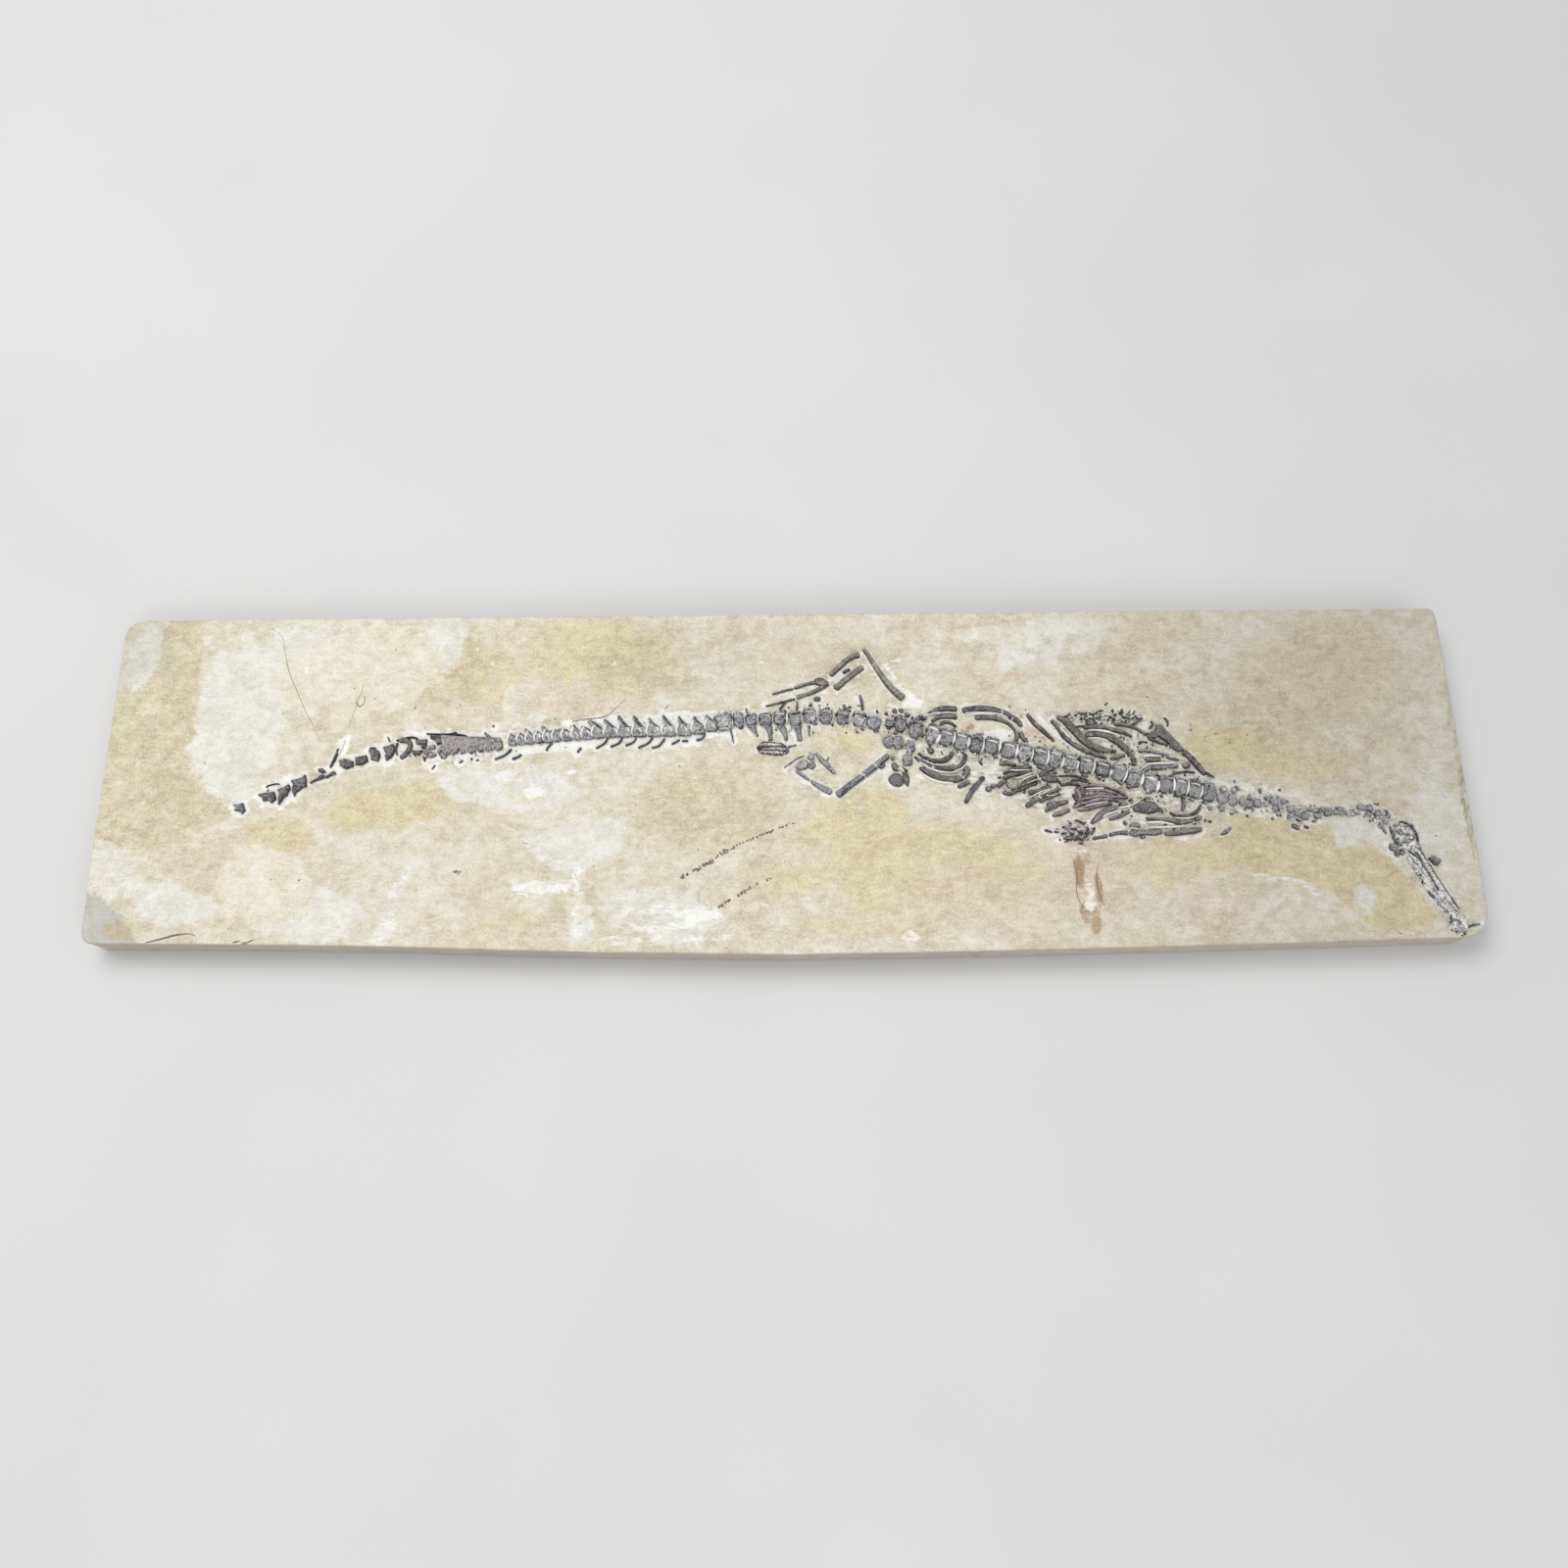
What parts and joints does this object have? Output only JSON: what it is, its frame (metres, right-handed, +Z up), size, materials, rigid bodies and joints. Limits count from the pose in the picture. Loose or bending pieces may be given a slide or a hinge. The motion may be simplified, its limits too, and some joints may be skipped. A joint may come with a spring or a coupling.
{
  "type": "fossil reptile slab",
  "caption": "Long pale limestone slab lying flat, with the dark skeleton of a small long-necked water reptile in low relief on its face.",
  "frame": {"origin": "middle of the underside, where the slab rests", "axes": "+X from the tail to the head, along the slab's length; +Y from the front edge to the back edge; +Z up, out of the worked face"},
  "size_m": [0.8017, 0.209, 0.0257],
  "materials": {
    "limestone": "rubbed smooth, stained cream, ochre and grey",
    "bone_slate": "mineralised bone, slate grey, satin",
    "bone_black": "mineralised bone, near black, satin",
    "bone_brown": "mineralised bone, grey brown, matt",
    "bone_olive": "mineralised bone, olive grey, satin",
    "bone_purple": "mineralised bone, purple grey, satin"
  },
  "bodies": {
    "root": {"stone_slab": "limestone", "skull": "bone_slate", "lower_jaw": "bone_slate", "neck_vertebrae": "bone_slate", "back_vertebrae": "bone_slate", "hip_vertebrae": "bone_slate", "tail_root_vertebrae": "bone_slate", "tail_middle_vertebrae": "bone_slate", "tail_brown_vertebrae": "bone_brown", "tail_dark_vertebrae": "bone_black", "tail_spine_long": "bone_black", "tail_thin_vertebrae": "bone_black", "tail_end_vertebrae": "bone_black", "tail_tip": "bone_slate", "rib_back_1": "bone_slate", "rib_back_2": "bone_slate", "rib_back_3": "bone_slate", "rib_back_4": "bone_slate", "rib_back_5": "bone_brown", "rib_back_6": "bone_slate", "rib_back_7": "bone_slate", "rib_back_8": "bone_slate", "rib_back_9": "bone_slate", "rib_back_10": "bone_slate", "rib_back_11": "bone_slate", "rib_front_1": "bone_slate", "rib_front_2": "bone_slate", "rib_front_3": "bone_slate", "rib_front_4": "bone_slate", "rib_front_5": "bone_slate", "rib_front_6": "bone_olive", "rib_front_7": "bone_purple", "rib_front_8": "bone_slate", "rib_front_9": "bone_slate", "rib_front_10": "bone_slate", "ribs_pressed": "bone_purple", "belly_plate_1": "bone_olive", "belly_plate_2": "bone_slate", "shoulder_blade": "bone_black", "shoulder_bone": "bone_slate", "upper_arm": "bone_black", "forearm_1": "bone_slate", "forearm_2": "bone_slate", "forearm_3": "bone_slate", "wrist_1": "bone_slate", "wrist_2": "bone_slate", "hand_front": "bone_brown", "hip_blade": "bone_slate", "hip_shaft": "bone_slate", "hip_ball": "bone_black", "thigh_back": "bone_olive", "shin_back_1": "bone_olive", "shin_back_2": "bone_olive", "foot_back": "bone_olive", "thigh_front": "bone_slate", "shin_front_1": "bone_slate", "shin_front_2": "bone_slate", "ankle_front": "bone_slate", "foot_front": "bone_purple"}
  },
  "joints": []
}
